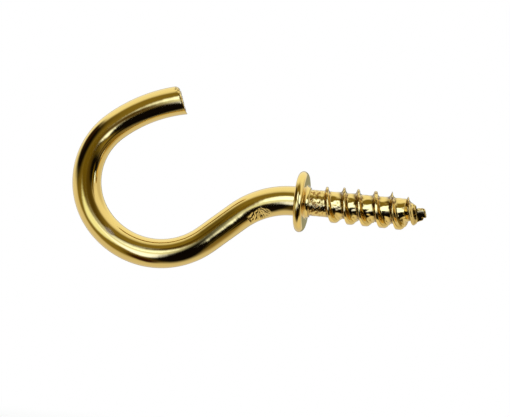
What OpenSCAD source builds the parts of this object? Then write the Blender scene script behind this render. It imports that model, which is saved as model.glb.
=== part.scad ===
// Screw-in cup hook: round wire bent to an open loop, with an upset collar and a rolled wood-screw
// thread, all one piece. The origin is the centre of the collar's seat, +X runs along the screw to
// its point, +Z is up, and the loop lies in the XZ plane with its mouth open at the top.

/* [Wire] */
// Diameter of the wire
wire_d = 3.25; // [2:0.05:4.5]

/* [Bends] */
// Centreline radius of the bend that drops the wire below the screw's axis
neck_bend_r = 11; // [6:0.1:18]
// Angle of that bend
neck_bend_a = 42; // [25:0.5:60]
// Straight length between that bend and the loop
shank_l = 3.4; // [1:0.1:8]
// Centreline radius of the loop's lower quarter
belly_r = 8.75; // [6:0.05:14]
// Centreline radius of the loop's outer quarter
back_r = 7.5; // [5:0.05:14]
// Centreline radius of the easy bend that leads to the free end
tip_r = 16; // [8:0.5:30]
// Angle of that bend
tip_a = 30.5; // [10:0.5:50]

/* [Free end] */
// Lean of the sheared end face off square, with its lower edge standing out
shear_a = 7; // [0:0.5:15]
// Length of the slope that the shear pressed on the upper edge
roll_l = 0.3; // [0.2:0.05:0.8]
// Depth of that slope
roll_h = 0.75; // [0.2:0.05:1]

/* [Collar] */
// Diameter of the collar over its rim
collar_d = 6.8; // [6:0.1:10]
// Thickness of the collar
collar_t = 1; // [0.7:0.05:1.6]
// Width of the flat round the rim, between its two round edges
rim_flat_w = 0.25; // [0.1:0.05:0.5]
// Radius of the fillet between the seat and the neck
seat_fillet_r = 0.45; // [0.2:0.05:0.6]

/* [Screw] */
// Length of the screw from the seat to its end
screw_l = 13.6; // [11:0.1:25]
// Diameter of the plain neck under the seat
neck_d = 3.3; // [2.8:0.05:3.6]
// Length of the neck, which narrows to the core
neck_l = 2; // [1:0.1:4]
// Diameter of the core between the threads
core_d = 2.9; // [2.4:0.05:3.2]
// Length of the tapered end
taper_l = 3.2; // [2:0.1:6]
// Diameter of the body under the last crest, where the taper gets steeper
tail_d = 2.2; // [1.6:0.05:2.6]
// Distance from that place to the screw's end
tail_l = 2.2; // [1.8:0.1:3.5]
// Diameter of the blunt nib
nib_d = 1.05; // [0.8:0.05:1.5]
// Length of the nib
nib_l = 1.3; // [0.8:0.1:1.6]
// Length of the chamfer round the nib
nib_chamfer = 0.3; // [0.1:0.05:0.5]

/* [Thread] */
// Diameter over the thread's crests
thread_d = 4.05; // [3.6:0.05:4.2]
// Distance from one crest to the next
pitch = 1.82; // [1.4:0.02:2.4]
// Width of the flat along the crest
crest_w = 0.3; // [0.1:0.05:0.6]
// Slope of each flank off a plane square to the axis
flank_a = 19; // [12:1:40]
// Distance from the seat to the thread's first rise from the core
thread_start = 1.5; // [0.8:0.05:3]
// Plain length of nib past the end of the thread
thread_stop = 0.8; // [0.4:0.05:2]
// Part of a turn over which the thread rises to its full height
lead_in = 0.35; // [0.2:0.05:1]
// Part of a turn over which the thread drops to the nib
run_out = 0.35; // [0.2:0.05:1]
// Length over which the last crests get lower, measured to the screw's end
crest_fall_l = 3.3; // [2.5:0.1:6]
// Diameter over the last crest before the thread drops
last_crest_d = 2.9; // [2.4:0.05:3.6]

/* [Hidden] */
$fn = 64;

// The wire's root lies inside the collar, and the collar's front is where it comes out
bend_start = -0.8 * collar_t;
rim_edge_r = (collar_t - rim_flat_w) / 2;
rim_centre_r = collar_d / 2 - rim_edge_r;

// Cutters stand clear of the wire by this much on every side
cut_w = 2 * wire_d;
// Extra bend that the sheared cut takes off
trim_a = 6;

// The thread's ridge is sunk below the core's surface, so that it grows out of it
root_sink = 0.2;
ridge_steps_per_turn = 24;
thread_end = screw_l - thread_stop;
thread_l = thread_end - thread_start;
ridge_turns = thread_l / pitch;
ridge_steps = ceil(ridge_turns * ridge_steps_per_turn);
// The first crest comes up at the back of the hook and reaches the top one quarter turn later
thread_phase = -62;

// Radius of the screw's body at x, from the narrowing neck to the nib
function core_r(x) = lookup(x, [
  [0, neck_d / 2],
  [neck_l, core_d / 2],
  [screw_l - taper_l, core_d / 2],
  [screw_l - tail_l, tail_d / 2],
  [screw_l - nib_l, nib_d / 2]
]);

// Radius of the crest at x: it leaves the core, stands at full height, falls and drops to the nib
function crest_r(x) = lookup(x, [
  [thread_start, core_r(thread_start) - root_sink / 2],
  [thread_start + lead_in * pitch, thread_d / 2],
  [screw_l - crest_fall_l, thread_d / 2],
  [thread_end - run_out * pitch, last_crest_d / 2],
  [thread_end, core_r(thread_end) - root_sink / 2]
]);

function root_r(x) = core_r(x) - root_sink;

// Ridge corners at step i, in order round the section: root, crest, crest, root
function ridge_section(i) =
  let (
    x = thread_start + thread_l * i / ridge_steps,
    turn = thread_phase + 360 * (x - thread_start) / pitch,
    half_root = crest_w / 2 + (crest_r(x) - root_r(x)) * tan(flank_a)
  )
  [for (corner = [
    [-half_root, root_r(x)],
    [-crest_w / 2, crest_r(x)],
    [crest_w / 2, crest_r(x)],
    [half_root, root_r(x)]
  ]) [x + corner[0], corner[1] * cos(turn), corner[1] * sin(turn)]];

// Bend of the wire about a centre to its left (side 1) or right (side -1), from angle a0 to a1 ahead
module bend(r, side, a0, a1) {
  translate([0, 0, side * r])
    rotate([90, 0, 0])
      rotate_extrude(angle = a1 - a0, start = side > 0 ? a0 - 90 : 90 - a1)
        translate([r, 0])
          circle(d = wire_d);
}

// What follows a quarter bend to the right
module after_quarter(r) {
  translate([r, 0, -r])
    rotate([0, 90, 0])
      children();
}

// Last bend of the wire with its sheared end: the face leans and its upper edge is pressed down
module tip() {
  difference() {
    bend(tip_r, -1, 0, tip_a + trim_a);
    translate([0, 0, -tip_r])
      rotate([0, tip_a, 0])
        translate([0, 0, tip_r])
          rotate([0, -shear_a, 0]) {
            translate([0, -cut_w / 2, -cut_w / 2])
              cube(cut_w);
            translate([-roll_l, 0, wire_d / 2])
              rotate([0, atan(roll_h / roll_l), 0])
                translate([-cut_w / 2, -cut_w / 2, 0])
                  cube(cut_w);
          }
  }
}

// Bent wire from inside the collar to the free end, each length laid on from the joint before it
module hook_wire() {
  translate([bend_start, 0, 0])
    rotate([0, 180, 0])
      translate([0, 0, neck_bend_r])
        rotate([0, -neck_bend_a, 0])
          translate([0, 0, -neck_bend_r]) {
            bend(neck_bend_r, 1, -neck_bend_a, 0);
            rotate([0, 90, 0])
              cylinder(d = wire_d, h = shank_l);
            translate([shank_l, 0, 0]) {
              bend(belly_r, -1, 0, 90);
              after_quarter(belly_r) {
                bend(back_r, -1, 0, 90);
                after_quarter(back_r)
                  tip();
              }
            }
          }
}

// Half section of the collar, neck, core and nib, with the screw's axis upright
module turned_profile() {
  translate([0, -collar_t])
    square([rim_centre_r, collar_t]);
  translate([0, rim_edge_r - collar_t])
    square([collar_d / 2, rim_flat_w]);
  for (y = [-rim_edge_r, rim_edge_r - collar_t])
    translate([rim_centre_r, y])
      circle(r = rim_edge_r);
  difference() {
    square([neck_d / 2 + seat_fillet_r, seat_fillet_r]);
    translate([neck_d / 2 + seat_fillet_r, seat_fillet_r])
      circle(r = seat_fillet_r);
  }
  polygon([
    [0, 0],
    [neck_d / 2, 0],
    [core_d / 2, neck_l],
    [core_d / 2, screw_l - taper_l],
    [tail_d / 2, screw_l - tail_l],
    [nib_d / 2, screw_l - nib_l],
    [nib_d / 2, screw_l - nib_chamfer],
    [nib_d / 2 - nib_chamfer, screw_l],
    [0, screw_l]
  ]);
}

module collar_and_core() {
  rotate([0, 90, 0])
    rotate_extrude()
      turned_profile();
}

// Right-hand ridge wound round the core
module thread() {
  sides = 4;
  points = [for (i = [0:ridge_steps]) each ridge_section(i)];
  walls = [
    for (i = [0:ridge_steps - 1], j = [0:sides - 1])
      let (k = (j + 1) % sides)
      [i * sides + j, i * sides + k, (i + 1) * sides + k, (i + 1) * sides + j]
  ];
  first_end = [for (j = [sides - 1:-1:0]) j];
  last_end = [for (j = [0:sides - 1]) ridge_steps * sides + j];
  polyhedron(points, [first_end, each walls, last_end]);
}

module cup_hook() {
  color("#c8a24b")
    union() {
      hook_wire();
      collar_and_core();
      thread();
    }
}

cup_hook();
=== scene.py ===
"""Screw-in cup hook in bright brass plate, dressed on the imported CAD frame.

One length of drawn steel wire is bent to an open loop, headed to a round collar, rolled to a wood-screw
thread and plated. The whole hook is one surface: rings carried along the wire's path, from the sheared free
end round the loop, out over the collar and along the screw to its nib. Sizes are millimetres and degrees
until a mesh is made, which is in metres.
"""

import logging
import math
from dataclasses import dataclass, field, fields
from enum import Enum

import bpy
import numpy as np
from mathutils import Matrix, Vector

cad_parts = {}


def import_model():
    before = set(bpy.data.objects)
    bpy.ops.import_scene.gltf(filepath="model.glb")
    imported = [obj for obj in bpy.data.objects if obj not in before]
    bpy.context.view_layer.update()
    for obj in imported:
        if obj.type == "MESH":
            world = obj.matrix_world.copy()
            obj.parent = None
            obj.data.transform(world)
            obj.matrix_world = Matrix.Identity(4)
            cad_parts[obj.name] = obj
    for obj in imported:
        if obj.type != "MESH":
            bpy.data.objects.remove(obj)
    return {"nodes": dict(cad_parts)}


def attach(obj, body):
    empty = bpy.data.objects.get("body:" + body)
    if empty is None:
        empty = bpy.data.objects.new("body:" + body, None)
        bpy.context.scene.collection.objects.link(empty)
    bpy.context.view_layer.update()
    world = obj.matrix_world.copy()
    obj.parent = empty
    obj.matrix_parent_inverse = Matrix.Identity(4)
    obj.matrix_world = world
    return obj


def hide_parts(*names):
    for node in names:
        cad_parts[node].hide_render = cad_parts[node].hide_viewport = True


LOG = logging.getLogger("cup_hook")
MM = 0.001
FULL_TURN = 2.0 * math.pi
COLUMNS = 120
# Masks of the surface; the second darkens the plating with grime, and with painted shade and painted
# reflection
MASKS = ("rough", "dirt_and_shade", "pressed", "worn")
FLATTEN = (1.0, 1.0, 0.0)

Pair = tuple[float, float]
Rgb = tuple[float, float, float]

# Random bumps: the longest wave where the shortest is 1, and the most lobes round the tube
LONGEST_WAVE = 2.6
MOST_LOBES = 16


class Turn(Enum):
    """Way that a bend turns the wire on its way from the collar to the free end."""

    DOWN = 1.0
    UP = -1.0


class Light(Enum):
    """What a card in the studio does to the polished wire that mirrors it."""

    PAPER = "white paper"
    LAMP = "lamp"
    SHADE = "unlit room"


def to_linear(hex_colour: str) -> tuple[float, float, float, float]:
    """Turns an sRGB hex colour into linear light.

    Args:
        hex_colour: Six hex digits after a hash sign.

    Returns:
        Linear red, green and blue, and an alpha of 1.
    """
    srgb = np.array([int(hex_colour[i:i + 2], 16) for i in (1, 3, 5)]) / 255.0
    linear = np.where(srgb <= 0.04045, srgb / 12.92, ((srgb + 0.055) / 1.055) ** 2.4)
    return (*linear.tolist(), 1.0)


def add_node(tree: bpy.types.NodeTree, kind: str, inputs: dict[str | int, object] | None = None,
             **settings: object) -> bpy.types.Node:
    """Adds one node with its settings, socket values and links.

    Args:
        tree: Node tree that takes the node.
        kind: Blender's type name of the node.
        inputs: Socket name or number to a value, or to another node's output socket.
        **settings: Properties of the node itself.

    Returns:
        The new node.
    """
    made = tree.nodes.new(kind)
    for name, value in settings.items():
        setattr(made, name, value)
    for key, value in (inputs or {}).items():
        if isinstance(value, bpy.types.NodeSocket):
            tree.links.new(value, made.inputs[key])
        else:
            made.inputs[key].default_value = value
    return made


def blank_tree(owner: bpy.types.Material | bpy.types.World) -> bpy.types.NodeTree:
    """Gives a material or the world an empty node tree.

    Args:
        owner: What the nodes are for.

    Returns:
        Its node tree.
    """
    owner.use_nodes = True
    owner.node_tree.nodes.clear()
    return owner.node_tree


def add_object(data: bpy.types.ID) -> bpy.types.Object:
    """Puts a mesh, camera or lamp into the scene as an object of the same name.

    Args:
        data: What the object shows.

    Returns:
        The new object.
    """
    made = bpy.data.objects.new(data.name, data)
    bpy.context.scene.collection.objects.link(made)
    return made


def soft_disc(tree: bpy.types.NodeTree, place: bpy.types.NodeSocket, soft: float) -> bpy.types.NodeSocket:
    """Adds a soft-edged disc: 1 inside it and 0 beyond it, with a smooth step across its edge.

    Args:
        tree: Node tree that takes the nodes.
        place: Vector that is 1 long on the middle of the disc's edge.
        soft: Half of the edge's width.

    Returns:
        The disc's share.
    """
    reach = add_node(tree, "ShaderNodeVectorMath", {0: place}, operation="LENGTH").outputs["Value"]
    return add_node(tree, "ShaderNodeMapRange", {
        "Value": reach, "From Min": 1.0 - soft, "From Max": 1.0 + soft, "To Min": 1.0, "To Max": 0.0,
    }, interpolation_type="SMOOTHSTEP").outputs[0]


def soft_max(a: np.ndarray, b: np.ndarray, width: float) -> np.ndarray:
    """Larger of two fields, with a fillet where they are within a width: max(a, b) + h^2 width / 4."""
    h = np.maximum(width - np.abs(a - b), 0.0) / width
    return np.maximum(a, b) + 0.25 * width * h * h


def ease(x: np.ndarray, low: float, high: float) -> np.ndarray:
    """Smooth step from 0 at low to 1 at high: t^2 (3 - 2 t)."""
    t = np.clip((x - low) / (high - low), 0.0, 1.0)
    return t * t * (3.0 - 2.0 * t)


def bell(x: np.ndarray, centre: float, width: np.ndarray | float) -> np.ndarray:
    """Bell curve exp(-((x - centre) / width)^2)."""
    return np.exp(-((x - centre) / width) ** 2)


def turn_from(theta: np.ndarray, angle_deg: float) -> np.ndarray:
    """Angle round the wire from a given direction, in radians from -pi to pi."""
    return (theta - math.radians(angle_deg) + math.pi) % FULL_TURN - math.pi


def pitted(s: np.ndarray, theta: np.ndarray, length: float, seed: int, waves: int = 28) -> np.ndarray:
    """Random bumps on a tube, made of plane waves cos(k s + m theta + phase).

    The waves are summed and divided by the root of their number. Each m is whole, so the seam closes.

    Args:
        s: Length along the tube.
        theta: Angle round the tube.
        length: Shortest wavelength along the tube.
        seed: Seed of the random draws.
        waves: Number of waves.

    Returns:
        Field of the shape of s and theta together, mostly between -1.5 and 1.5.
    """
    draw = np.random.default_rng(seed)
    k = FULL_TURN / (length * draw.uniform(1.0, LONGEST_WAVE, waves)) * draw.choice([-1.0, 1.0], waves)
    m = draw.integers(-MOST_LOBES, MOST_LOBES + 1, waves)
    phase = draw.uniform(0.0, FULL_TURN, waves)
    field_sum = np.zeros(np.broadcast(s, theta).shape)
    for wave in range(waves):
        field_sum += np.cos(k[wave] * s + m[wave] * theta + phase[wave])
    return field_sum / math.sqrt(waves)


@dataclass(frozen=True)
class Bend:
    """One length of the wire: a bend of a radius and angle, or a straight where the radius is nought."""

    radius: float
    angle: float
    turn: Turn = Turn.UP
    straight: float = 0.0

    def length(self) -> float:
        """Length of the centreline."""
        return self.straight or self.radius * math.radians(self.angle)

    def turning(self) -> float:
        """Signed change of heading, in radians."""
        return 0.0 if self.straight else self.turn.value * math.radians(self.angle)


@dataclass
class WirePath:
    """Centreline of the hook in its XZ plane. Its length s is 0 at the seat, above 0 on the screw.

    The heading is linear in the length along each bend. Its mean over a short length stands for the way that
    a wire eases into a bend, and the place is the running sum of the heading's cosine and sine.
    """

    lead: float = 1.3
    bends: tuple[Bend, ...] = (
        Bend(9.44, 41.0, Turn.DOWN),
        Bend(0.0, 0.0, straight=4.37),
        Bend(8.70, 90.0),
        Bend(7.53, 90.0),
        Bend(16.45, 29.04),
    )
    easing: float = 1.6
    step: float = 0.01
    spare: float = 2.0

    def length(self) -> float:
        """Length of the wire from the seat to the free end."""
        return self.lead + sum(b.length() for b in self.bends)

    def at(self, s: np.ndarray) -> tuple[np.ndarray, np.ndarray]:
        """Places the path.

        Args:
            s: Length from the seat, positive towards the screw's point.

        Returns:
            Points (..., 3) and unit normals (..., 3) that point to the inside of the loop.
        """
        ends = np.cumsum([self.lead] + [b.length() for b in self.bends])
        turns = math.pi + np.cumsum([0.0] + [b.turning() for b in self.bends])
        back = np.arange(0.0, ends[-1] + self.spare, self.step)
        heading = np.interp(back, ends, turns)
        window = np.hanning(int(self.easing / self.step) | 1)
        padded = np.pad(heading, len(window) // 2, mode="edge")
        heading = np.convolve(padded, window / window.sum(), mode="valid")
        middle = 0.5 * (heading[1:] + heading[:-1])
        x = np.concatenate([[0.0], np.cumsum(np.cos(middle)) * self.step])
        z = np.concatenate([[0.0], np.cumsum(np.sin(middle)) * self.step])
        on_wire = np.maximum(-s, 0.0)
        angle = np.interp(on_wire, back, heading)
        point_x = np.interp(on_wire, back, x) + np.maximum(s, 0.0)
        point_z = np.interp(on_wire, back, z)
        flat = np.zeros_like(point_x)
        points = np.stack([point_x, flat, point_z], axis=-1)
        normals = np.stack([np.sin(angle), flat, -np.cos(angle)], axis=-1)
        return points, normals


@dataclass
class Rings:
    """Rings of a stretch of the hook: grids of length and radius, and of the masks of its surface."""

    s: np.ndarray
    r: np.ndarray
    rough: np.ndarray
    dirt_and_shade: np.ndarray
    pressed: np.ndarray
    worn: np.ndarray

    @classmethod
    def plain(cls, s: np.ndarray, r: np.ndarray, rough: np.ndarray | float = 0.0,
              dirt_and_shade: np.ndarray | float = 0.0) -> "Rings":
        """Makes rings that are neither pressed nor worn.

        Args:
            s: Length from the seat, one value a row or a full grid.
            r: Radius, in the same form.
            rough: How rough the plating is, 0 to 1.
            dirt_and_shade: How much darker the plating is, 0 to 1: grime, and painted shade and painted
                reflection.

        Returns:
            The rings, spread to full grids.
        """
        rows = np.shape(s)[0]
        grid = [np.asarray(a, dtype=float).reshape(rows, -1) if np.ndim(a) else np.full((rows, 1), float(a))
                for a in (s, r, rough, dirt_and_shade)]
        grid = [np.broadcast_to(a, (rows, COLUMNS)).copy() for a in grid]
        return cls(*grid, np.zeros((rows, COLUMNS)), np.zeros((rows, COLUMNS)))


@dataclass
class FreeEnd:
    """Sheared end of the wire: a leaning face, a rolled upper edge and a lip of burr on the lower one."""

    lean: float = 9.0
    side_lean: float = 7.0
    rolled_edge: float = 0.46
    sharp_edge: float = 0.06
    edge_power: float = 1.5
    burr: float = 0.08
    burr_width: float = 0.5
    rim_share: float = 0.8
    rough_length: float = 0.25
    lump_height: float = 0.02
    lump_length: float = 0.9
    lump_stretch: float = 0.5
    speck_length: float = 1.6
    speck_crowding: float = 9.0
    speck_limits: Pair = (0.1, 0.4)
    speck_rise: Pair = (-0.3, 0.1)
    speck_dirt: float = 0.9
    face_rows: int = 12
    edge_rows: int = 8

    def rings(self, theta: np.ndarray, end: float, wire_r: float) -> Rings:
        """Makes the end face and its edge.

        The edge's radius goes from sharp at the bottom to rolled at the top with a power of (1 - cos) / 2.
        The edge is a quarter circle of that radius, and the face inside it is a disc that leans two ways,
        with lumps. Specks of grime lie round the upper rim.

        Args:
            theta: Angles round the wire, 0 at the inside of the loop.
            end: Length of the wire's end from the seat.
            wire_r: Radius of the wire.

        Returns:
            Rows from the middle of the face to the wire's side.
        """
        low = np.cos(theta)[None, :]
        near = np.sin(theta)[None, :]
        roll = ((1.0 - low) / 2.0) ** self.edge_power
        edge = self.sharp_edge + (self.rolled_edge - self.sharp_edge) * roll
        share = np.linspace(1.0 / self.face_rows, 1.0, self.face_rows)[:, None]
        face_r = (wire_r - edge) * share
        quarter = np.linspace(math.pi / 2.0, 0.0, self.edge_rows + 1)[1:, None]
        edge_r = wire_r - edge * (1.0 - np.cos(quarter))
        edge_s = edge * (1.0 - np.sin(quarter))
        r = np.vstack([face_r, edge_r])
        s = np.vstack([np.zeros_like(face_r), edge_s])
        rim = ease(r, self.rim_share * wire_r, wire_r)
        lip = self.burr * bell(turn_from(theta, 0.0)[None, :], 0.0, self.burr_width)
        rough = 1.0 - ease(s, 0.0, self.rough_length)
        slant = math.tan(math.radians(self.lean)) * low + math.tan(math.radians(self.side_lean)) * near
        lumps = pitted(r * low, self.lump_stretch * r * near, self.lump_length, seed=5)
        s = end + s - slant * r - lip * rim + self.lump_height * rough * lumps
        specks = pitted(self.speck_crowding * (s - end), theta, self.speck_length, seed=8)
        specks = ease(specks, *self.speck_limits) * rim
        return Rings.plain(s, r, rough, self.speck_dirt * specks * ease(-low, *self.speck_rise))


@dataclass
class PressMark:
    """Flat that the bending tool pressed into the wire, with creases that fan out over it."""

    start: float = -7.0
    deepest: float = -5.1
    stop: float = -4.0
    facing: float = 133.0
    depth: float = 0.25
    step: float = 0.35
    fan_at: float = -5.3
    fan_angle: float = 92.0
    creases: int = 17
    crease_depth: float = 0.035
    # Painted shade in the creases' valleys and along the step where the mark starts
    crease_painted_shade: float = 0.45
    crease_power: int = 4
    step_length: float = 0.08
    reach: float = 1.2
    least_cos: float = 0.3
    fade: float = 0.2
    wander: float = 0.10
    wander_length: float = 0.5
    fan_clear: Pair = (0.1, 0.5)
    edge_width: float = 0.10

    def press(self, rings: Rings, theta: np.ndarray, wire_r: float) -> None:
        """Flattens the wire: inside the mark the radius is that of a plane, d / cos(angle from its facing).

        The depth starts with a small step, grows to the deepest place and dies out again. The creases are a
        cosine of the bearing from where they fan out, bent a little at random, and painted shade darkens
        their valleys and a line along the step.

        Args:
            rings: Rings of the wire, which are changed.
            theta: Angles round the wire.
            wire_r: Radius of the wire.
        """
        away = turn_from(theta, self.facing)[None, :]
        stations = [self.start - self.step_length, self.start, self.deepest, self.stop]
        depth = self.depth * np.interp(rings.s, stations, [0.0, self.step, 1.0, 0.0])
        plane = (wire_r - depth) / np.maximum(np.cos(away), self.least_cos)
        clear_of_wire = 2.0 * wire_r
        flat = np.where(np.abs(away) < self.reach, plane, clear_of_wire)
        inside = (depth > 0.0) & (flat < rings.r)
        across = wire_r * turn_from(theta, self.fan_angle)[None, :]
        bent = self.wander * pitted(rings.s, theta[None, :], self.wander_length, seed=11)
        bearing = np.arctan2(rings.s - self.fan_at, across) + bent
        valley = 0.5 - 0.5 * np.cos(self.creases * bearing)
        pressed = np.where(inside, ease((rings.r - flat) / self.depth, 0.0, self.fade), 0.0)
        valley = pressed * valley * ease(np.hypot(rings.s - self.fan_at, across), *self.fan_clear)
        # Painted shade: a dark line along the step where the mark starts, and darkening in the creases'
        # valleys
        edge = np.where(inside, bell(rings.s, self.start, self.edge_width), 0.0)
        grime = np.maximum(edge, self.crease_painted_shade * valley ** self.crease_power)
        rings.pressed = np.maximum(rings.pressed, pressed)
        rings.dirt_and_shade = np.maximum(rings.dirt_and_shade, grime)
        rings.r = np.where(inside, flat, rings.r) - self.crease_depth * valley


@dataclass
class WornSpot:
    """Small rub where the brass is worn thin and the grey metal under it shows."""

    at: float = -24.2
    facing: float = 77.0
    half_length: float = 0.80
    half_width: float = 0.28
    edge: Pair = (0.4, 1.2)

    def wear(self, rings: Rings, theta: np.ndarray, wire_r: float) -> None:
        """Marks the spot: an ellipse on the unrolled wire with a soft edge.

        Args:
            rings: Rings of the wire, which are changed.
            theta: Angles round the wire.
            wire_r: Radius of the wire.
        """
        across = turn_from(theta, self.facing)[None, :] * wire_r / self.half_width
        along = (rings.s - self.at) / self.half_length
        rings.worn = np.maximum(rings.worn, 1.0 - ease(np.hypot(across, along), *self.edge))


@dataclass
class Collar:
    """Round collar headed from the wire: a rim with round edges, a faintly domed seat and its fillet."""

    diameter: float = 6.78
    thickness: float = 1.0
    front_fillet: float = 0.12
    front_edge: float = 0.46
    seat_edge: float = 0.47
    seat_dome: float = 0.05
    seat_fillet: float = 0.45
    neck_d: float = 3.3
    # Painted shade in the corner where the wire meets the front face, and round the seat's fillet
    shade_ahead: float = 0.03
    shade_length: float = 0.05
    shade_out: float = 0.05
    shade_height: float = 0.1
    seat_grime: float = 0.8
    seat_grime_length: float = 0.04
    edge_rows: int = 12
    land_rows: int = 4
    face_rows: int = 8
    fillet_rows: int = 10

    def front(self) -> float:
        """Length at which the wire meets the collar's front fillet."""
        return -self.thickness - self.front_fillet

    def rings(self, wire_r: float) -> Rings:
        """Makes the front face, the rim with a quarter circle at each edge, the seat and its fillet.

        The dome of the seat grows with the square of the distance from the fillet, which is a quarter circle.

        Args:
            wire_r: Radius of the wire.

        Returns:
            Rows from the wire to the neck.
        """
        rim_r = self.diameter / 2.0
        neck_r = self.neck_d / 2.0
        fillet = np.linspace(0.0, math.pi / 2.0, self.fillet_rows)
        edge = np.linspace(0.0, math.pi / 2.0, self.edge_rows)
        front_r = np.linspace(wire_r + self.front_fillet, rim_r - self.front_edge, self.face_rows + 1)[1:-1]
        seat_r = np.linspace(rim_r - self.seat_edge, neck_r + self.seat_fillet, self.face_rows + 1)[1:-1]
        land_ends = (self.front_edge - self.thickness, -self.seat_edge - self.seat_dome)
        land_s = np.linspace(*land_ends, self.land_rows + 1)[1:-1]
        dome = self.seat_dome * ((seat_r - seat_r[-1]) / (rim_r - seat_r[-1])) ** 2
        edge_dome = self.seat_dome * ((rim_r - self.seat_edge - seat_r[-1]) / (rim_r - seat_r[-1])) ** 2
        s = np.concatenate([
            -self.thickness - self.front_fillet * (1.0 - np.sin(fillet)),
            np.full_like(front_r, -self.thickness),
            -self.thickness + self.front_edge * (1.0 - np.cos(edge)),
            land_s,
            -edge_dome - self.seat_edge * (1.0 - np.sin(edge)),
            -dome,
            self.seat_fillet * (1.0 - np.cos(fillet)),
        ])
        r = np.concatenate([
            wire_r + self.front_fillet * (1.0 - np.cos(fillet)),
            front_r,
            rim_r - self.front_edge * (1.0 - np.sin(edge)),
            np.full_like(land_s, rim_r),
            rim_r - self.seat_edge * (1.0 - np.cos(edge)),
            seat_r,
            neck_r + self.seat_fillet * (1.0 - np.sin(fillet)),
        ])
        # Painted shade: darker where the wire meets the front face and round the seat's fillet
        in_front = bell(s, -self.thickness - self.shade_ahead, self.shade_length)
        by_wire = bell(r, wire_r + self.shade_out, self.shade_height)
        behind = self.seat_grime * bell(s, self.seat_fillet, self.seat_grime_length)
        return Rings.plain(s, r, dirt_and_shade=np.clip(in_front * by_wire + behind, 0.0, 1.0))


@dataclass(frozen=True)
class Crest:
    """Thread's crest at one place on its winding: turns from the first top, radius, flat and shift."""

    turns: float
    radius: float
    flat: float = 0.24
    shift: float = 0.0


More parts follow.
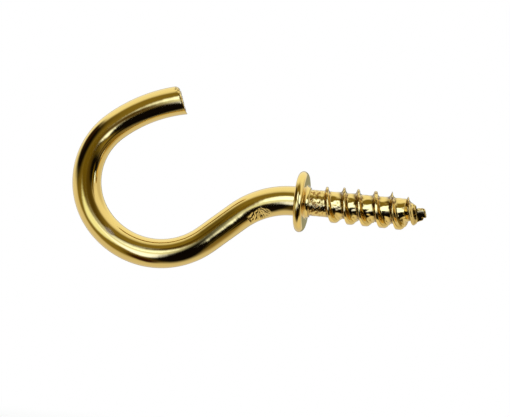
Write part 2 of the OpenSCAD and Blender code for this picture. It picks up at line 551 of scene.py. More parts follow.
@dataclass
class Screw:
    """Rolled right-hand wood-screw thread on a tapered core, from the neck to the blunt nib."""

    length: float = 13.58
    neck_end: float = 2.0
    core_d: float = 2.9
    root_turns: tuple[float, ...] = (4.45, 4.80, 5.20)
    root_radii: tuple[float, ...] = (1.45, 0.85, 0.80)
    cone: float = 2.4
    groove_share: float = 0.3
    core_lumps: float = 0.017
    core_lump_length: float = 0.8
    core_rough: float = 0.04
    neck_edge: Pair = (0.2, 0.3)
    fillet_fade: float = 0.15
    nib_d: float = 1.0
    nib_waist: float = 0.08
    waist_width: float = 0.25
    nib_flat: float = 0.32
    nib_facing: float = 106.0
    nib_facet: float = 0.8
    facet_least_cos: float = 0.2
    facet_turns: Pair = (5.12, 5.27)
    nib: float = 1.3
    nib_round: float = 0.2
    nib_lift: float = 0.08
    nib_lean: float = 16.0
    nib_edge: Pair = (0.3, 0.2)
    nib_rough: float = 0.35
    # Patches of painted shade on the nib
    nib_painted_shade: float = 0.4
    nib_lumps: float = 0.05
    nib_lump_length: float = 0.7
    nib_lump_waves: int = 9
    pitch: float = 1.82
    first_top: float = 2.21
    far_side: tuple[float, float, float] = (0.78, 0.34, -0.17)
    last_turns: tuple[float, ...] = (4.4, 5.2, 5.5)
    last_far_side: tuple[float, ...] = (1.0, 0.6, 1.5)
    flank_out: tuple[float, ...] = (0.0, 0.10, 0.21, 1.0)
    flank_down: tuple[float, ...] = (0.0, 0.40, 0.57, 1.2)
    crests: tuple[Crest, ...] = (
        Crest(-0.45, 1.30, 0.10),
        Crest(-0.15, 1.78),
        Crest(0.0, 1.93),
        Crest(0.5, 2.00),
        Crest(1.0, 2.02, shift=0.10),
        Crest(1.5, 2.03),
        Crest(2.0, 2.01, shift=-0.14),
        Crest(2.5, 2.03, shift=-0.08),
        Crest(3.0, 1.97, 0.34),
        Crest(3.5, 2.03, 0.28),
        Crest(3.85, 2.06),
        Crest(4.0, 2.14, 0.03),
        Crest(4.2, 2.06, 0.14),
        Crest(4.5, 2.05),
        Crest(5.0, 1.72, 0.05),
        Crest(5.5, 1.43, 0.08),
        Crest(5.85, 0.40, 0.08),
    )
    corner: float = 0.05
    root_fillet: float = 0.16
    slope_step: float = 0.02
    # Painted shade at the ridges' feet, in patches: its reach on each side, and its strength
    near_shade_reach: float = 0.20
    far_shade_reach: float = 0.08
    near_shade: float = 0.4
    far_shade: float = 0.9
    patch_length: float = 0.5
    patch_limits: Pair = (-0.6, 0.8)
    least_patch: float = 0.25
    # The ridges' upper front is rough, and painted darker in specks there: a painted reflection of brown
    # mottling
    grain_facing: float = 50.0
    grain_width: float = 0.65
    grain_limits: Pair = (-0.30, 0.05)
    grain_rough: float = 1.0
    grain_painted_reflection: float = 0.85
    speck_length: float = 0.22
    speck_limits: Pair = (-0.1, 0.7)
    pit_height: float = 0.010
    pit_length: float = 0.35
    body_rows: int = 340
    nib_rows: int = 8
    face_rows: int = 5

    def core_r(self, s: np.ndarray, theta: np.ndarray, neck_r: float) -> np.ndarray:
        """Radius of the body between the ridges.

        The neck narrows to the core along a straight line, and the tail is a cone down to the nib. There the
        root also sinks along the winding: its radius is read off by the turn at which the groove starts, plus
        a share of the way across the groove.

        Args:
            s: Length from the seat.
            theta: Angles round the screw, 0 at the top.
            neck_r: Radius of the neck.

        Returns:
            The body's radius.
        """
        part = theta / FULL_TURN
        windings = (s - self.first_top) / self.pitch - part
        groove = np.floor(windings) + part + self.groove_share * (windings - np.floor(windings))
        body = np.interp(s, [0.0, self.neck_end, self.length - self.cone, self.length - self.nib],
                         [neck_r, self.core_d / 2.0, self.core_d / 2.0, self.nib_d / 2.0])
        waist = self.nib_waist * bell(s, self.length - self.nib, self.waist_width)
        return np.minimum(body, np.interp(groove, self.root_turns, self.root_radii)) - waist

    def ridge_r(self, s: np.ndarray, theta: np.ndarray) -> np.ndarray:
        """Radius of the thread's ridge.

        The crest follows s = first_top + pitch * turns + shift, where turns grows by theta / 2 pi. At each
        point the nearest winding is taken and its crest is read off the list. Off its flat the ridge falls
        along the flank, which is steep by the crest and eases at the root. The flank is longer on the side of
        the nib, most of all at the bottom and on the last turn, until the thread runs out.

        Args:
            s: Length from the seat.
            theta: Angles round the screw, 0 at the top.

        Returns:
            The ridge's radius, far below the core between the crests.
        """
        part = theta / FULL_TURN
        turns = np.round((s - self.first_top) / self.pitch - part) + part
        stations = [c.turns for c in self.crests]
        radius, flat, shift = (np.interp(turns, stations, [getattr(c, name) for c in self.crests])
                               for name in ("radius", "flat", "shift"))
        along = s - self.first_top - self.pitch * turns - shift
        mean, swing, second = self.far_side
        far_side = mean + swing * np.cos(theta) + second * np.cos(2.0 * theta)
        far_side = far_side * np.interp(turns, self.last_turns, self.last_far_side)
        along = np.where(along > 0.0, far_side * along, -along)
        off_flat = soft_max(along - flat / 2.0, np.zeros_like(along), self.corner)
        fall = np.interp(off_flat, self.flank_out, self.flank_down)
        ended = (turns < stations[0]) | (turns > stations[-1])
        return np.where(ended, 0.0, radius - fall)

    def marks(self, s: np.ndarray, theta: np.ndarray, core: np.ndarray, ridge: np.ndarray,
              fillet: float) -> tuple[np.ndarray, np.ndarray]:
        """Finds where rolling left the screw rough, and where it is painted darker.

        The neck is rough, and so are the ridges on their upper front, where specks of painted reflection lie.
        Painted shade lies in patches along a ridge's feet, in a bell curve that is wider on the collar's
        side, and in patches on the nib.

        Args:
            s: Length from the seat.
            theta: Angles round the screw, 0 at the top.
            core: Radius of the body.
            ridge: Radius of the ridge.
            fillet: Length at which the seat's fillet ends.

        Returns:
            How rough the surface is and how much it is painted darker, 0 to 1.
        """
        before, after = self.neck_edge
        off_fillet = ease(s, fillet, fillet + self.fillet_fade)
        neck = off_fillet * (1.0 - ease(s, self.neck_end - before, self.neck_end + after))
        rough = np.clip(neck + self.core_rough, 0.0, 1.0) + np.zeros_like(theta)
        # Painted shade at the ridges' feet, in patches, wider on the collar's side
        patchy = ease(pitted(s, theta, self.patch_length, seed=14), *self.patch_limits)
        patchy = self.least_patch + (1.0 - self.least_patch) * patchy
        rising = self.ridge_r(s + self.slope_step, theta) > ridge
        foot = bell(core - ridge, 0.0, np.where(rising, self.near_shade_reach, self.far_shade_reach))
        near_shade = self.near_shade + (1.0 - self.near_shade) * patchy
        past_neck = ease(s, self.neck_end, self.neck_end + after)
        dirt_and_shade = np.where(rising, near_shade, self.far_shade * patchy) * foot * past_neck
        # Painted reflection: dark specks on the ridges' upper front, whose roughness also brings out the
        # darker pit colour
        upper_front = bell(turn_from(theta, self.grain_facing), 0.0, self.grain_width)
        grainy = ease(ridge - core, *self.grain_limits) * upper_front
        specks = ease(pitted(s, theta, self.speck_length, seed=17), *self.speck_limits)
        on_nib = self.on_nib(s)
        dirt_and_shade = np.maximum(dirt_and_shade, self.grain_painted_reflection * specks * grainy)
        # Painted shade in patches on the nib
        dirt_and_shade = np.maximum(dirt_and_shade, self.nib_painted_shade * patchy * on_nib)
        rough = np.maximum(rough, self.grain_rough * grainy)
        return np.maximum(rough, self.nib_rough * on_nib), dirt_and_shade

    def on_nib(self, s: np.ndarray) -> np.ndarray:
        """Share of the nib at each length: 0 on the thread and 1 on the nib."""
        before, after = self.nib_edge
        return ease(s, self.length - self.nib - before, self.length - self.nib + after)

    def rings(self, theta: np.ndarray, fillet: float, neck_r: float) -> Rings:
        """Makes the screw as a height field on a tube: the rounded larger of the ridge and the core.

        Pits and lumps are added to it. The nib has a flat facet on one side, past the thread's end, and its
        end is a quarter circle round a face that leans.

        Args:
            theta: Angles round the screw, 0 at the top.
            fillet: Length at which the seat's fillet ends.
            neck_r: Radius of the neck.

        Returns:
            Rows from the fillet to the middle of the nib's face.
        """
        angle = theta[None, :]
        body = np.linspace(fillet, self.length - self.nib_round, self.body_rows + 1)[1:, None]
        past_neck = ease(body, self.neck_end, self.neck_end + self.neck_edge[1])
        core_lumps = self.core_lumps * past_neck * pitted(body, angle, self.core_lump_length, seed=4)
        core = self.core_r(body, angle, neck_r) + core_lumps
        ridge = self.ridge_r(body, angle)
        rough, dirt_and_shade = self.marks(body, angle, core, ridge, fillet)
        on_nib = self.on_nib(body)
        pits = self.pit_height * rough * pitted(body, angle, self.pit_length, seed=3)
        lumps = on_nib * pitted(body, angle, self.nib_lump_length, seed=21, waves=self.nib_lump_waves)
        r = soft_max(core, ridge, self.root_fillet) + pits + self.nib_lumps * lumps
        from_facet = np.maximum(np.cos(turn_from(angle, self.nib_facing)), self.facet_least_cos)
        facet = self.nib_flat / from_facet ** self.nib_facet
        windings = (body - self.first_top) / self.pitch - angle / FULL_TURN
        past_ridge = on_nib * ease(windings, *self.facet_turns)
        r = r + past_ridge * (np.minimum(r, facet) - r)
        turn = np.linspace(0.0, math.pi / 2.0, self.nib_rows + 1)[1:, None]
        nib_s = self.length - self.nib_round * (1.0 - np.sin(turn)) + np.zeros_like(angle)
        round_r = r[-1:] - self.nib_round * (1.0 - np.cos(turn))
        face_r = round_r[-1:] * np.linspace(1.0, 0.0, self.face_rows + 1)[1:-1, None]
        s = np.vstack([np.broadcast_to(body, r.shape), nib_s, np.full_like(face_r, self.length)])
        r = np.vstack([r, round_r, face_r])
        rough = np.vstack([rough, np.full_like(nib_s, self.nib_rough), np.full_like(face_r, self.nib_rough)])
        dirt_and_shade = np.vstack([dirt_and_shade, np.zeros_like(nib_s), np.zeros_like(face_r)])
        tip = ease(s, self.length - self.nib, self.length)
        r = r + self.nib_lift * tip * np.cos(angle) * np.minimum(r / self.nib_d, 1.0)
        s = s - tip * math.tan(math.radians(self.nib_lean)) * (0.5 * self.nib_d + r * np.cos(angle))
        return Rings.plain(s, r, rough, dirt_and_shade)


def stack(parts: list[Rings]) -> Rings:
    """Lays stretches of rings end to end."""
    return Rings(*(np.vstack([getattr(p, f.name) for p in parts]) for f in fields(Rings)))


@dataclass(frozen=True)
class BrassPlate:
    """Bright brass electroplate on drawn steel wire.

    A polished metal skin: it mirrors the room in a yellow tint. Drawing leaves fine lines along the wire,
    plating a slight orange peel, and rolling leaves the neck and the ridges pitted and dull. Drawing lines
    are finer than a pixel of the photograph, so they are drawn 0.10 mm wide, about one pixel, to show at all.
    """

    name: str = "bright_brass_electroplate"
    colour: str = "#e4c472"
    pit_colour: str = "#8f6428"
    bare_colour: str = "#e8d0a8"
    # Dark brown over the plating: grime, and painted shade in corners, creases and ridge feet, and painted
    # reflection
    dirt_and_shade_colour: str = "#4a2a08"
    polished: float = 0.05
    dull: float = 0.16
    rubbed: float = 0.45
    line_width: float = 0.10
    line_length: float = 9.0
    line_height: float = 0.0006
    peel_width: float = 0.9
    peel_height: float = 0.006
    ripple_width: float = 0.25
    ripple_length: float = 2.5
    ripple_height: float = 0.001
    pit_width: float = 0.32
    pit_height: float = 0.035
    pit_limits: Pair = (0.50, 0.38)
    pit_tint: float = 0.9
    crease_width: float = 0.34
    crease_stretch: float = 1.4
    crease_height: float = 0.05
    streak: float = 0.05

    def material(self) -> bpy.types.Material:
        """Builds the material from a point's place on the straightened hook, in millimetres, and its masks.

        Returns:
            The plate's material.
        """
        made = bpy.data.materials.new(self.name)
        tree = blank_tree(made)
        place = add_node(tree, "ShaderNodeAttribute", attribute_name="wire_place").outputs["Vector"]
        masks = {name: add_node(tree, "ShaderNodeAttribute", attribute_name=name).outputs["Fac"]
                 for name in MASKS}

        def noise(along: float, around: float, detail: float) -> bpy.types.NodeSocket:
            """Noise with a grain of a given length along and around the wire, in millimetres."""
            scaled = add_node(tree, "ShaderNodeMapping", {
                "Vector": place, "Scale": (1.0 / along, 1.0 / around, 1.0 / around)})
            return add_node(tree, "ShaderNodeTexNoise", {
                "Vector": scaled.outputs[0], "Scale": 1.0, "Detail": detail}).outputs["Fac"]

        lines = noise(self.line_length, self.line_width, detail=2.0)
        peel = noise(self.peel_width, self.peel_width, detail=1.0)
        ripple = noise(self.ripple_width, self.ripple_length, detail=2.0)
        pits = noise(self.pit_width, self.pit_width, detail=1.5)
        creases = noise(self.crease_width, self.crease_stretch * self.crease_width, detail=2.0)
        pit_depth = add_node(tree, "ShaderNodeMath", {0: pits, 1: masks["rough"]},
                             operation="MULTIPLY").outputs[0]
        crease_depth = add_node(tree, "ShaderNodeMath", {0: creases, 1: masks["pressed"]},
                                operation="MULTIPLY").outputs[0]

        normal = None
        for height, depth in ((lines, self.line_height), (peel, self.peel_height),
                              (ripple, self.ripple_height), (pit_depth, self.pit_height),
                              (crease_depth, self.crease_height)):
            inputs = {"Height": height, "Distance": depth * MM, "Strength": 1.0}
            if normal is not None:
                inputs["Normal"] = normal
            normal = add_node(tree, "ShaderNodeBump", inputs).outputs["Normal"]

        dark_pits = add_node(tree, "ShaderNodeMapRange", {
            "Value": pits, "From Min": self.pit_limits[0], "From Max": self.pit_limits[1],
            "To Min": 0.0, "To Max": self.pit_tint}).outputs[0]
        pit_share = add_node(tree, "ShaderNodeMath", {0: dark_pits, 1: masks["rough"]}, operation="MULTIPLY")
        # The second share paints grime, painted shade and painted reflection in dark brown
        shares = (pit_share.outputs[0], masks["dirt_and_shade"], masks["worn"])
        colour = to_linear(self.colour)
        for share, over in zip(shares, (self.pit_colour, self.dirt_and_shade_colour, self.bare_colour)):
            colour = add_node(tree, "ShaderNodeMix", {0: share, 6: colour, 7: to_linear(over)},
                              data_type="RGBA").outputs[2]
        plated = add_node(tree, "ShaderNodeMapRange", {
            "Value": masks["rough"], "To Min": self.polished, "To Max": self.dull}).outputs[0]
        roughness = add_node(tree, "ShaderNodeMix", {0: masks["worn"], 2: plated, 3: self.rubbed}).outputs[0]
        streaked = add_node(tree, "ShaderNodeMath", {0: lines, 1: self.streak, 2: roughness},
                            operation="MULTIPLY_ADD")
        shader = add_node(tree, "ShaderNodeBsdfPrincipled", {
            "Base Color": colour, "Metallic": 1.0, "Roughness": streaked.outputs[0], "Normal": normal})
        add_node(tree, "ShaderNodeOutputMaterial", {"Surface": shader.outputs[0]})
        return made


@dataclass
class CupHook:
    """The whole hook: bent wire, collar and screw as one plated piece."""

    name: str = "plated_cup_hook"
    node: str = "cup_hook"
    slot: str = "brass_plate"
    wire_d: float = 3.25
    path: WirePath = field(default_factory=WirePath)
    free_end: FreeEnd = field(default_factory=FreeEnd)
    press_mark: PressMark = field(default_factory=PressMark)
    worn_spot: WornSpot = field(default_factory=WornSpot)
    collar: Collar = field(default_factory=Collar)
    screw: Screw = field(default_factory=Screw)
    finish: BrassPlate = field(default_factory=BrassPlate)
    mark_margin: float = 0.2
    loop_rows: int = 220
    mark_rows: int = 70
    neck_rows: int = 24

    def rings(self, theta: np.ndarray) -> Rings:
        """Lays the rings of every stretch end to end.

        Args:
            theta: Angles round the wire.

        Returns:
            Rows from the free end to the nib.
        """
        wire_r = self.wire_d / 2.0
        end = self.free_end.rings(theta, -self.path.length(), wire_r)
        mark = (self.press_mark.start - self.mark_margin, self.press_mark.stop + self.mark_margin)
        stops = [end.s[-1:], *mark, self.collar.front()]
        rows = [self.loop_rows, self.mark_rows, self.neck_rows]
        shares = [np.linspace(0.0, 1.0, n + 1)[1:, None] for n in rows]
        lengths = [a * (1.0 - share) + b * share + np.zeros_like(end.s[-1:])
                   for a, b, share in zip(stops[:-1], stops[1:], shares)]
        wire = Rings.plain(np.vstack(lengths)[:-1], np.full(sum(rows) - 1, wire_r))
        self.press_mark.press(wire, theta, wire_r)
        self.worn_spot.wear(wire, theta, wire_r)
        screw = self.screw.rings(theta, self.collar.seat_fillet, self.collar.neck_d / 2.0)
        return stack([end, wire, self.collar.rings(wire_r), screw])

    def build(self) -> bpy.types.Object:
        """Makes the mesh P(s, theta) = C(s) + r (cos theta N(s) + sin theta B), with B along -Y.

        Returns:
            The hook's object, at the origin, with its masks as point attributes.
        """
        theta = FULL_TURN * np.arange(COLUMNS) / COLUMNS
        rings = self.rings(theta)
        centre, inward = self.path.at(rings.s)
        towards = np.array([0.0, -1.0, 0.0])
        radial = np.cos(theta)[None, :, None] * inward + np.sin(theta)[None, :, None] * towards
        points = centre + rings.r[..., None] * radial
        poles = np.stack([points[0].mean(axis=0), points[-1].mean(axis=0)])
        place = np.stack([rings.s, rings.r * np.cos(theta), rings.r * np.sin(theta)], axis=-1)
        pole_place = np.stack([place[0].mean(axis=0), place[-1].mean(axis=0)])
        mesh = closed_tube(self.name, points, poles)
        put_attribute(mesh, "wire_place", "FLOAT_VECTOR", place.reshape(-1, 3), pole_place)
        for name in MASKS:
            grid = getattr(rings, name)
            put_attribute(mesh, name, "FLOAT", grid.reshape(-1, 1), grid[[0, -1], :1])
        mesh.materials.append(self.finish.material())
        made = add_object(mesh)
        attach(made, "root")
        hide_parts(self.node)
        return made


def closed_tube(name: str, points: np.ndarray, poles: np.ndarray) -> bpy.types.Mesh:
    """Makes a closed mesh from a grid of rings and a point at each end.

    Args:
        name: Name of the mesh.
        points: Grid of points (rows, columns, 3) in millimetres, closed across its columns.
        poles: First and last point (2, 3).

    Returns:
        A smooth-shaded mesh of quads with a fan of triangles at each end, faces outwards.
    """
    rows, columns = points.shape[:2]
    index = np.arange(rows * columns).reshape(rows, columns)
    beside = np.roll(index, -1, axis=1)
    quads = np.stack([index[:-1], beside[:-1], beside[1:], index[1:]], axis=-1).reshape(-1, 4)
    first, last = rows * columns, rows * columns + 1
    first_fan = np.stack([np.full(columns, first), beside[0], index[0]], axis=-1)
    last_fan = np.stack([np.full(columns, last), index[-1], beside[-1]], axis=-1)
    corners = np.concatenate([quads.ravel(), first_fan.ravel(), last_fan.ravel()])
    sizes = np.concatenate([np.full(len(quads), 4), np.full(2 * columns, 3)])
    mesh = bpy.data.meshes.new(name)
    everywhere = np.concatenate([points.reshape(-1, 3), poles]) * MM
    mesh.vertices.add(len(everywhere))
    mesh.vertices.foreach_set("co", everywhere.ravel().astype(np.float32))
    mesh.loops.add(len(corners))
    mesh.loops.foreach_set("vertex_index", corners.astype(np.int32))
    mesh.polygons.add(len(sizes))
    mesh.polygons.foreach_set("loop_start", (np.cumsum(sizes) - sizes).astype(np.int32))
    mesh.update(calc_edges=True)
    mesh.validate()
    mesh.shade_smooth()
    return mesh


def put_attribute(mesh: bpy.types.Mesh, name: str, kind: str, grid: np.ndarray, poles: np.ndarray) -> None:
    """Stores one value a point on a mesh from closed_tube.

    Args:
        mesh: Mesh that takes the attribute.
        name: Name that materials read.
        kind: Blender's attribute type.
        grid: Values of the grid's points, in their order.
        poles: Values of the two end points.
    """
    values = np.concatenate([grid, poles]).astype(np.float32).ravel()
    stored = mesh.attributes.new(name, kind, "POINT")
    stored.data.foreach_set("vector" if kind == "FLOAT_VECTOR" else "value", values)


@dataclass(frozen=True)
class PhotoCamera:
    """Long lens at the photograph's angle: a little to the screw's side, level, and slightly rolled."""

    azimuth: float = 9.0
    roll: float = 5.6
    distance: float = 600.0
    nearest: float = 10.0
    farthest: float = 20000.0
    sensor: float = 36.0
    picture_w: int = 510
    picture_h: int = 417
    mm_per_pixel: float = 0.111
    seat_pixel: Pair = (306.28, 202.17)

    def axes(self) -> np.ndarray:
        """Finds the picture's axes.

        Returns:
            Rows of the picture's right, its up, and the way back to the camera, in the hook's frame.
        """
        a, r = math.radians(self.azimuth), math.radians(self.roll)
        level = np.array([math.cos(a), math.sin(a), 0.0])
        upright = np.array([0.0, 0.0, 1.0])
        back = np.array([math.sin(a), -math.cos(a), 0.0])
        return np.stack([level * math.cos(r) + upright * math.sin(r),
                         upright * math.cos(r) - level * math.sin(r), back])

    def build(self) -> bpy.types.Object:
        """Makes the scene's camera, aimed so that the seat falls on its pixel.

        Returns:
            The camera's object.
        """
        right, up, back = self.axes()
        across = (self.seat_pixel[0] - self.picture_w / 2.0) * self.mm_per_pixel
        above = (self.picture_h / 2.0 - self.seat_pixel[1]) * self.mm_per_pixel
        place = back * self.distance - right * across - up * above
        lens = bpy.data.cameras.new("photo_camera")
        lens.sensor_width = self.sensor
        lens.lens = self.sensor * self.distance / (self.picture_w * self.mm_per_pixel)
        lens.clip_start = self.nearest * MM
        lens.clip_end = self.farthest * MM
        made = add_object(lens)
        turned = Matrix(np.stack([right, up, back]).T.tolist()).to_4x4()
        made.matrix_world = Matrix.Translation(Vector((place * MM).tolist())) @ turned
        bpy.context.scene.camera = made
        return made


@dataclass(frozen=True)
class Card:
    """Soft-edged ellipse of light or shade in the room, placed by angles from the camera's direction."""

    kind: Light
    across: float
    above: float
    half_w: float
    half_h: float
    tilt: float
    soft: float
    colour: Rgb

    def frame(self, axes: np.ndarray) -> Matrix:
        """Turns the camera's axes to face the card: columns are its width, its height and the way to it.

        Args:
            axes: Rows of right, up and back from PhotoCamera.axes.

        Returns:
            Rotation from the card's own axes to the hook's frame.
        """
        away = math.radians(math.hypot(self.across, self.above))
        heading = math.atan2(self.above, self.across)
        centre = np.array([math.sin(away) * math.cos(heading), math.sin(away) * math.sin(heading),
                           math.cos(away)])
        wide = np.cross([0.0, 1.0, 0.0], centre)
        wide /= np.linalg.norm(wide)
        high = np.cross(centre, wide)
        t = math.radians(self.tilt)
        turned = np.stack([wide * math.cos(t) + high * math.sin(t), high * math.cos(t) - wide * math.sin(t),
                           centre])
        return Matrix((turned @ axes).T.tolist())


@dataclass(frozen=True)
class Flag:
    """Small soft-edged card that stands before the hook or lies under it, and is seen only mirrored in it."""

    name: str
    x: float
    z: float
    before: float
    half_w: float
    half_h: float
    tilt: float
    soft: float
    colour: Rgb
    lean: float = 0.0

    def build(self) -> bpy.types.Object:
        """Stands the card up: a rectangle whose glow fades at the rim of its ellipse, and is clear beyond it.

        Returns:
            The card's object.
        """
        made = bpy.data.materials.new(self.name)
        tree = blank_tree(made)
        place = add_node(tree, "ShaderNodeTexCoord").outputs["Object"]
        scaled = add_node(tree, "ShaderNodeVectorMath", {
            0: place, 1: (1.0 / (self.half_w * MM), 0.0, 1.0 / (self.half_h * MM))}, operation="MULTIPLY")
        share = soft_disc(tree, scaled.outputs[0], self.soft)
        clear = add_node(tree, "ShaderNodeBsdfTransparent")
        glow = add_node(tree, "ShaderNodeEmission", {"Color": (*self.colour, 1.0), "Strength": 1.0})
        mixed = add_node(tree, "ShaderNodeMixShader", {0: share, 1: clear.outputs[0], 2: glow.outputs[0]})
        add_node(tree, "ShaderNodeOutputMaterial", {"Surface": mixed.outputs[0]})
        w = self.half_w * (1.0 + self.soft) * MM
        h = self.half_h * (1.0 + self.soft) * MM
        mesh = bpy.data.meshes.new(self.name)
        mesh.from_pydata([(-w, 0.0, -h), (w, 0.0, -h), (w, 0.0, h), (-w, 0.0, h)], [], [(0, 1, 2, 3)])
        mesh.materials.append(made)
        card = add_object(mesh)
        card.location = (self.x * MM, -self.before * MM, self.z * MM)
        card.rotation_euler = (math.radians(self.lean), math.radians(self.tilt), 0.0)
        card.visible_camera = False
        card.visible_diffuse = False
        card.visible_shadow = False
        return card


@dataclass
class Studio:
    """Room that the polished brass mirrors: white paper all round, and a dim side with lamps at the camera.

    The cards lie over each other in their order. Colours are linear light, since lamps are brighter than
    white, and lamps are bluish, so that yellow metal mirrors them near white. Flags that overlap stand on
    planes of their own, because light leaks past two that share one.
    """

    paper: Rgb = (0.97, 0.97, 0.97)
    white: tuple[float, float, float, float] = (1.0, 1.0, 1.0, 1.0)
    floor_colour: str = "#e3e3e1"
    floor_z: float = -30.0
    floor_r: float = 900.0
    floor_sides: int = 96
    shadow_fade: Pair = (30.0, 120.0)
    lamp_size: float = 100.0
    lamp_watts: float = 1.2
    lamp_at: tuple[float, float, float] = (-120.0, -120.0, 500.0)
    cards: tuple[Card, ...] = (
        Card(Light.PAPER, 0.0, 115.0, 80.0, 62.0, 0.0, 0.40, (1.15, 1.22, 1.25)),
        Card(Light.PAPER, 0.0, -115.0, 80.0, 62.0, 0.0, 0.40, (0.82, 0.82, 0.84)),
        Card(Light.SHADE, 48.0, -52.0, 30.0, 26.0, 0.0, 0.45, (0.28, 0.21, 0.07)),
        Card(Light.SHADE, -22.0, 0.0, 63.0, 72.0, 0.0, 0.08, (0.26, 0.21, 0.05)),
        Card(Light.SHADE, -75.0, 32.0, 34.0, 20.0, -4.0, 0.40, (0.006, 0.004, 0.004)),
        Card(Light.SHADE, -84.0, 53.0, 17.0, 12.0, 0.0, 0.45, (0.030, 0.014, 0.004)),
        Card(Light.SHADE, 41.0, -11.0, 48.0, 16.0, -12.0, 0.45, (0.005, 0.004, 0.004)),
        Card(Light.PAPER, 106.0, -8.0, 24.0, 34.0, 0.0, 0.35, (0.80, 0.79, 0.76)),
        Card(Light.SHADE, 8.0, 7.0, 27.0, 15.0, 36.0, 0.60, (0.095, 0.066, 0.012)),
        Card(Light.SHADE, -2.0, -48.0, 19.0, 43.0, 12.0, 0.35, (0.005, 0.004, 0.004)),
        Card(Light.SHADE, -30.0, -60.0, 8.0, 21.0, -20.0, 0.50, (0.034, 0.008, 0.003)),
        Card(Light.LAMP, -36.0, -10.0, 24.0, 10.0, 23.0, 0.40, (1.2, 1.45, 1.6)),
        Card(Light.LAMP, -23.0, -18.0, 6.0, 15.0, -7.0, 0.45, (1.5, 1.9, 4.0)),
        Card(Light.LAMP, -15.0, 20.0, 8.0, 15.0, 6.0, 0.50, (2.0, 2.6, 4.4)),
        Card(Light.LAMP, -3.0, -15.0, 14.0, 3.0, -47.0, 0.60, (1.9, 2.4, 4.2)),
        Card(Light.SHADE, 180.0, 0.0, 20.0, 22.0, 0.0, 0.50, (0.30, 0.24, 0.09)),
        Card(Light.LAMP, 174.0, 4.0, 5.0, 11.0, 12.0, 0.50, (1.3, 1.5, 2.0)),
        Card(Light.SHADE, 161.2, -15.8, 9.0, 25.0, 0.0, 0.40, (0.34, 0.36, 0.26)),
    )
    flags: tuple[Flag, ...] = (
        Flag("loop_flag", -30.4, 2.5, 25.0, 9.4, 7.0, 4.0, 0.45, (0.165, 0.125, 0.015)),
        Flag("belly_flag", -13.5, -11.0, 10.0, 2.8, 11.0, 18.0, 0.70, (0.004, 0.003, 0.004)),
        Flag("tip_flag", -23.0, 7.0, 24.0, 3.3, 4.8, -32.0, 0.70, (0.09, 0.06, 0.010)),
        Flag("screw_lamp", 8.0, 1.4, 10.0, 5.6, 3.2, 0.0, 0.30, (2.0, 2.6, 4.4)),
        Flag("screw_flag", 8.5, -13.6, 10.3, 8.0, 10.5, 0.0, 0.15, (0.005, 0.004, 0.004)),
        Flag("screw_paper", 8.0, -12.0, 0.0, 9.0, 6.0, 0.0, 0.25, (0.95, 0.92, 0.84), lean=90.0),
        Flag("collar_flag", -1.9, -13.0, 10.6, 1.0, 9.5, 0.0, 0.20, (0.010, 0.006, 0.004)),
        Flag("shank_flag", -10.6, 1.4, 9.7, 3.0, 2.4, 0.0, 0.40, (0.20, 0.15, 0.02)),
    )

    def build_world(self, axes: np.ndarray) -> None:
        """Paints the room on the world: paper, with each card laid over what is behind it.

        The camera itself sees plain white.

        Args:
            axes: Rows of right, up and back from PhotoCamera.axes.
        """
        world = bpy.data.worlds.new("paper_room")
        tree = blank_tree(world)
        way = add_node(tree, "ShaderNodeTexCoord").outputs["Generated"]
        room = add_node(tree, "ShaderNodeRGB")
        room.outputs[0].default_value = (*self.paper, 1.0)
        colour = room.outputs[0]
        for card in self.cards:
            seen = add_node(tree, "ShaderNodeMapping", {
                "Vector": way, "Rotation": card.frame(axes).to_euler(),
                "Scale": (math.sin(math.radians(card.half_w)), math.sin(math.radians(card.half_h)), 1.0),
            }, vector_type="TEXTURE").outputs[0]
            flat = add_node(tree, "ShaderNodeVectorMath", {0: seen, 1: FLATTEN}, operation="MULTIPLY")
            inside = soft_disc(tree, flat.outputs[0], card.soft)
            depth = add_node(tree, "ShaderNodeSeparateXYZ", {0: seen}).outputs["Z"]
            in_front = add_node(tree, "ShaderNodeMath", {0: depth, 1: 0.0}, operation="GREATER_THAN")
            share = add_node(tree, "ShaderNodeMath", {0: inside, 1: in_front.outputs[0]},
                             operation="MULTIPLY")
            colour = add_node(tree, "ShaderNodeMix", {0: share.outputs[0], 6: colour, 7: (*card.colour, 1.0)},
                              data_type="RGBA", label=card.kind.value).outputs[2]
        to_camera = add_node(tree, "ShaderNodeLightPath").outputs["Is Camera Ray"]
        shown = add_node(tree, "ShaderNodeMix", {0: to_camera, 6: colour, 7: self.white},
                         data_type="RGBA").outputs[2]
        background = add_node(tree, "ShaderNodeBackground", {"Color": shown, "Strength": 1.0})
        add_node(tree, "ShaderNodeOutputWorld", {"Surface": background.outputs[0]})
        bpy.context.scene.world = world

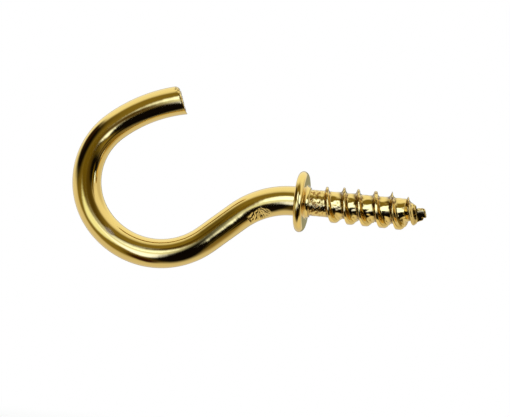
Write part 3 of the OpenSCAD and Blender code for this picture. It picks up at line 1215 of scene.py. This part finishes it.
    def build_floor(self) -> bpy.types.Object:
        """Lays a round white paper floor under the hook, which shows the shadow near its middle.

        Returns:
            The floor's object.
        """
        paper = bpy.data.materials.new("matt_white_paper")
        tree = blank_tree(paper)
        place = add_node(tree, "ShaderNodeTexCoord").outputs["Object"]
        flat = add_node(tree, "ShaderNodeVectorMath", {0: place, 1: FLATTEN}, operation="MULTIPLY")
        reach = add_node(tree, "ShaderNodeVectorMath", {0: flat.outputs[0]}, operation="LENGTH")
        shaded, faded = self.shadow_fade
        beyond = add_node(tree, "ShaderNodeMapRange", {
            "Value": reach.outputs["Value"], "From Min": shaded * MM, "From Max": faded * MM,
        }, interpolation_type="SMOOTHSTEP").outputs[0]
        matt = add_node(tree, "ShaderNodeBsdfDiffuse", {"Color": to_linear(self.floor_colour)})
        white = add_node(tree, "ShaderNodeEmission", {"Color": self.white, "Strength": 1.0})
        to_camera = add_node(tree, "ShaderNodeLightPath").outputs["Is Camera Ray"]
        share = add_node(tree, "ShaderNodeMath", {0: beyond, 1: to_camera}, operation="MULTIPLY").outputs[0]
        mixed = add_node(tree, "ShaderNodeMixShader", {0: share, 1: matt.outputs[0], 2: white.outputs[0]})
        add_node(tree, "ShaderNodeOutputMaterial", {"Surface": mixed.outputs[0]})
        angle = FULL_TURN * np.arange(self.floor_sides) / self.floor_sides
        ring = np.stack([self.floor_r * np.cos(angle), self.floor_r * np.sin(angle),
                         np.full_like(angle, self.floor_z)], axis=-1) * MM
        mesh = bpy.data.meshes.new("paper_floor")
        mesh.from_pydata(ring.tolist(), [], [list(range(len(ring)))])
        mesh.materials.append(paper)
        made = add_object(mesh)
        made.visible_glossy = False
        return made

    def build_lamp(self) -> bpy.types.Object:
        """Hangs a soft lamp over the hook, so that its shadow falls on the floor.

        Returns:
            The lamp's object.
        """
        lamp = bpy.data.lights.new("soft_lamp", "AREA")
        lamp.shape = "DISK"
        lamp.size = self.lamp_size * MM
        lamp.energy = self.lamp_watts
        made = add_object(lamp)
        made.location = [place * MM for place in self.lamp_at]
        made.visible_glossy = False
        return made


def main() -> None:
    """Loads the frame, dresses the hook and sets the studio."""
    logging.basicConfig(level=logging.INFO, format="%(name)s: %(message)s")
    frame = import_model()
    LOG.info("frame: %d node", len(frame["nodes"]))
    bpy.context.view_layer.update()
    scene = bpy.context.scene
    scene.view_settings.view_transform = "Standard"

    camera = PhotoCamera()
    camera.build()
    hook = CupHook().build()
    LOG.info("%s: %d faces", hook.name, len(hook.data.polygons))
    studio = Studio()
    studio.build_world(camera.axes())
    LOG.info("%s laid", studio.build_floor().name)
    for flag in studio.flags:
        LOG.info("%s stood up", flag.build().name)
    LOG.info("%s hung", studio.build_lamp().name)


if __name__ == "__main__":
    main()
